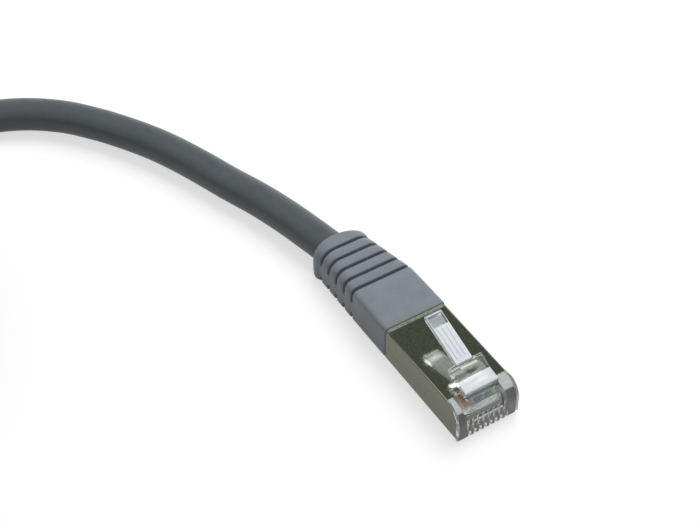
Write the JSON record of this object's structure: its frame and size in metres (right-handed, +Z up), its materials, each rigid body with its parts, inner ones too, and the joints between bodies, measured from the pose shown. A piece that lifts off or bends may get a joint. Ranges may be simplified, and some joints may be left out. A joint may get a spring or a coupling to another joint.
{
  "type": "ethernet patch cable",
  "caption": "Shielded network patch cable with a clear latching modular plug and a ribbed grey boot at each end, its spare length wound in a round coil.",
  "frame": {"origin": "on the surface that the cable rests on, under the middle of the near plug's nose face, at the foot of that face", "axes": "+X out of the near plug's nose, along the plug, +Z up out of the latch side, +Y to the plug's left"},
  "size_m": [0.1159, 0.1384, 0.0131],
  "materials": {
    "clear_plastic": "clear glossy moulding",
    "nickel_shield": "bright nickel plate with a warm green tint",
    "comb_plastic": "translucent white",
    "boot_grey": "satin grey soft moulding",
    "foil": "crinkled foil",
    "jacket_grey": "satin grey soft jacket",
    "gilt_contact": "gilt",
    "wire_white_orange": "satin insulation",
    "wire_orange": "satin insulation",
    "wire_white_green": "satin insulation",
    "wire_blue": "satin insulation",
    "wire_white_blue": "satin insulation",
    "wire_green": "satin insulation",
    "wire_white_brown": "satin insulation",
    "wire_brown": "satin insulation"
  },
  "bodies": {
    "cable": {"near_plug_housing": "clear_plastic", "near_shield": "nickel_shield", "near_wire_comb": "comb_plastic", "near_boot": "boot_grey", "near_foil_core": "foil", "near_jacket_end": "jacket_grey", "near_contact_1": "gilt_contact", "near_contact_2": "gilt_contact", "near_contact_3": "gilt_contact", "near_contact_4": "gilt_contact", "near_contact_5": "gilt_contact", "near_contact_6": "gilt_contact", "near_contact_7": "gilt_contact", "near_contact_8": "gilt_contact", "near_wire_1": "wire_white_orange", "near_wire_2": "wire_orange", "near_wire_3": "wire_white_green", "near_wire_4": "wire_blue", "near_wire_5": "wire_white_blue", "near_wire_6": "wire_green", "near_wire_7": "wire_white_brown", "near_wire_8": "wire_brown", "far_plug_housing": "clear_plastic", "far_shield": "nickel_shield", "far_wire_comb": "comb_plastic", "far_boot": "boot_grey", "far_foil_core": "foil", "far_jacket_end": "jacket_grey", "far_contact_1": "gilt_contact", "far_contact_2": "gilt_contact", "far_contact_3": "gilt_contact", "far_contact_4": "gilt_contact", "far_contact_5": "gilt_contact", "far_contact_6": "gilt_contact", "far_contact_7": "gilt_contact", "far_contact_8": "gilt_contact", "far_wire_1": "wire_white_orange", "far_wire_2": "wire_orange", "far_wire_3": "wire_white_green", "far_wire_4": "wire_blue", "far_wire_5": "wire_white_blue", "far_wire_6": "wire_green", "far_wire_7": "wire_white_brown", "far_wire_8": "wire_brown", "cord_lead": "jacket_grey", "cord_coil": "jacket_grey", "cord_tail": "jacket_grey"},
    "near_latch": {"near_latch": "clear_plastic"},
    "far_latch": {"far_latch": "clear_plastic"}
  },
  "joints": [
    {"name": "near_latch_hinge", "type": "hinge", "parent": "cable", "child": "near_latch", "pos_m": [-0.00245, 0, 0.0067], "axis": [0, -1, 0], "range_deg": [0, 12], "stiffness_Nm_per_rad": 0.02},
    {"name": "far_latch_hinge", "type": "hinge", "parent": "cable", "child": "far_latch", "pos_m": [-0.00245, -0.1245, 0.0067], "axis": [0, -1, 0], "range_deg": [0, 12], "stiffness_Nm_per_rad": 0.02}
  ]
}
